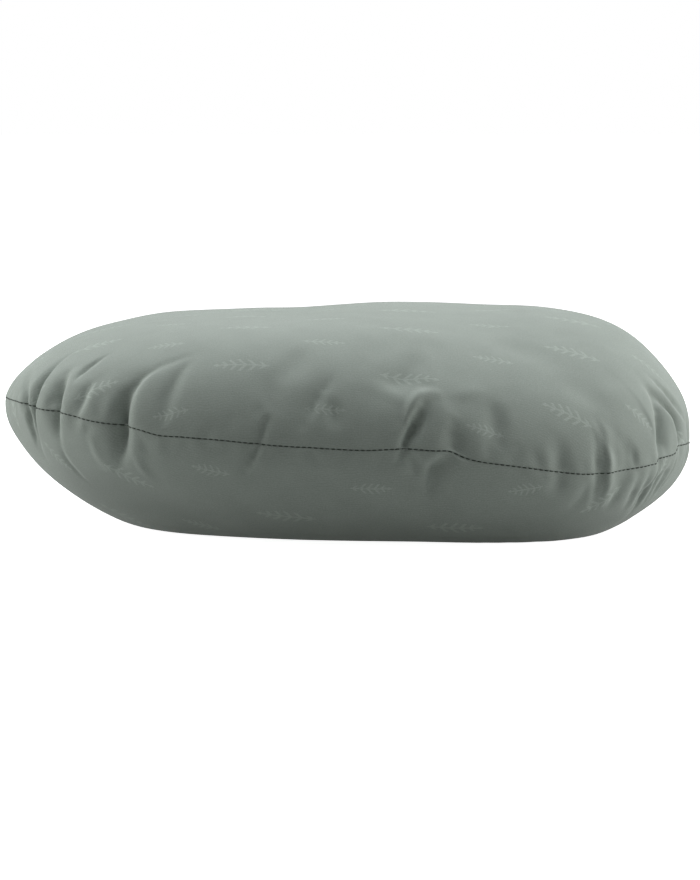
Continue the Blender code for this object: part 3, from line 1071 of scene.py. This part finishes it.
def label_tape():
    """Woven satin tape, blank, with a row of fine stitches along each side."""
    look = Look("label_tape", TAPE_COLOUR, 0.5)
    place, across, up, _ = look.cloth()
    weave = look.ribs(look.math("ADD", across, up), TAPE_WEAVE)
    grain = look.noise(place, 3.0)
    off_row = look.math("SUBTRACT", look.math("ABSOLUTE", across), TAPE_STITCHED_AT)
    on_row = look.soft_step(look.math("ABSOLUTE", off_row), 0.3, 0.15)
    shown = look.soft_step(look.ribs(up, TAPE_STITCH), -0.2, 0.1)
    stitch = look.times(on_row, shown)
    look.shade(look.around(grain, 0.06), look.raised(weave, WEAVE_TONE), look.raised(stitch, -0.5))
    look.give("Roughness", look.scaled(grain, 0.2, 0.4))
    look.bump(look.math("ADD", weave, stitch), 0.00008)
    return look.material


def pillow():
    """All the pieces. The even grid stays unpressed, since the flat cloth and the fill follow it."""
    even = Grid()
    layout = Layout(even)
    grid = Grid()
    points = settle(grid, layout, shape_grid(grid))
    mouth = Mouth(grid, layout, points)
    cloth = brushed_cloth()
    for name, side in (("cover_upper", 1), ("cover_lower", -1)):
        panel(name, side, even, layout, points, mouth).data.materials.append(cloth)
    dark, pale = twisted_thread("dark_thread", DARK_THREAD), twisted_thread("pale_thread", PALE_THREAD)
    threads(mouth, dark, pale)
    foam_fill(layout, even)
    care_label(mouth)


pillow()


# ---- stage, light and camera

TARGET = Vector((0, 0, 0.065))
CAMERA_DISTANCE = 1.6
CAMERA_ELEVATION = math.radians(6.5)
SENSOR, FOCAL_LENGTH = 36, 106.2  # mm
SHIFT = 0.0023, -0.0336
FLOOR_REACH = 30.0
# What the pillow gets of each, as if it lay on dark cloth, and what the camera sees of it
FLOOR_TONE, FLOOR_GLOW, BACKDROP_GLOW = (0.42, 0.9), (0.17, 0.92), (0.11, 1.0)
# Each lamp's place and size in metres, power in watts and colour
LAMPS = {
    "overhead": ((0, 0.3, 1.3), (1.6, 1.2), 26, (0.985, 1.0, 1.03)),
    "left": ((-1.4, 0.08, 0.35), (1.0, 1.0), 21, (1, 1, 1)),
    "right": ((1.4, 0.08, 0.35), (1.0, 1.0), 22.5, (1, 1, 1)),
}


def aim_and_add(name, data, place):
    """Puts a lamp or a camera at the place, turned towards the pillow."""
    made = bpy.data.objects.new(name, data)
    made.location = place
    made.rotation_euler = (TARGET - made.location).to_track_quat("-Z", "Y").to_euler()
    bpy.context.scene.collection.objects.link(made)
    return made


def got_and_seen(tree, got, seen):
    """A value that is one thing for the light on the pillow and another for the camera."""
    path = tree.nodes.new("ShaderNodeLightPath")
    value = tree.nodes.new("ShaderNodeMapRange")
    value.inputs["To Min"].default_value = got
    value.inputs["To Max"].default_value = seen
    tree.links.new(path.outputs["Is Camera Ray"], value.inputs["Value"])
    return value.outputs["Result"]


def stage_floor():
    corners = FLOOR_REACH * np.array([(-1, -1, 0), (1, -1, 0), (1, 1, 0), (-1, 1, 0)])
    floor = new_mesh("floor", corners, [(0, 1, 2, 3)])
    look = Look("floor_paint", (0.8, 0.8, 0.8), 0.9)
    look.give("Base Color", got_and_seen(look.material.node_tree, *FLOOR_TONE))
    look.give("Emission Color", (1, 1, 1, 1))
    look.give("Emission Strength", got_and_seen(look.material.node_tree, *FLOOR_GLOW))
    floor.data.materials.append(look.material)


def lights():
    for name, (place, size, power, colour) in LAMPS.items():
        data = bpy.data.lights.new(name, "AREA")
        data.color = colour
        data.shape = "RECTANGLE"
        data.size, data.size_y = size
        data.energy = power
        aim_and_add(name, data, place)
    world = bpy.data.worlds.new("studio")
    world.use_nodes = True
    backdrop = world.node_tree.nodes["Background"].inputs
    backdrop["Color"].default_value = (1, 1, 1, 1)
    world.node_tree.links.new(got_and_seen(world.node_tree, *BACKDROP_GLOW), backdrop["Strength"])
    bpy.context.scene.world = world


def camera():
    data = bpy.data.cameras.new("camera")
    data.sensor_width = SENSOR
    data.lens = FOCAL_LENGTH
    data.shift_x, data.shift_y = SHIFT
    back = Vector((0, -math.cos(CAMERA_ELEVATION), math.sin(CAMERA_ELEVATION)))
    bpy.context.scene.camera = aim_and_add("camera", data, TARGET + back * CAMERA_DISTANCE)


camera()
stage_floor()
lights()
bpy.context.scene.view_settings.view_transform = "Standard"
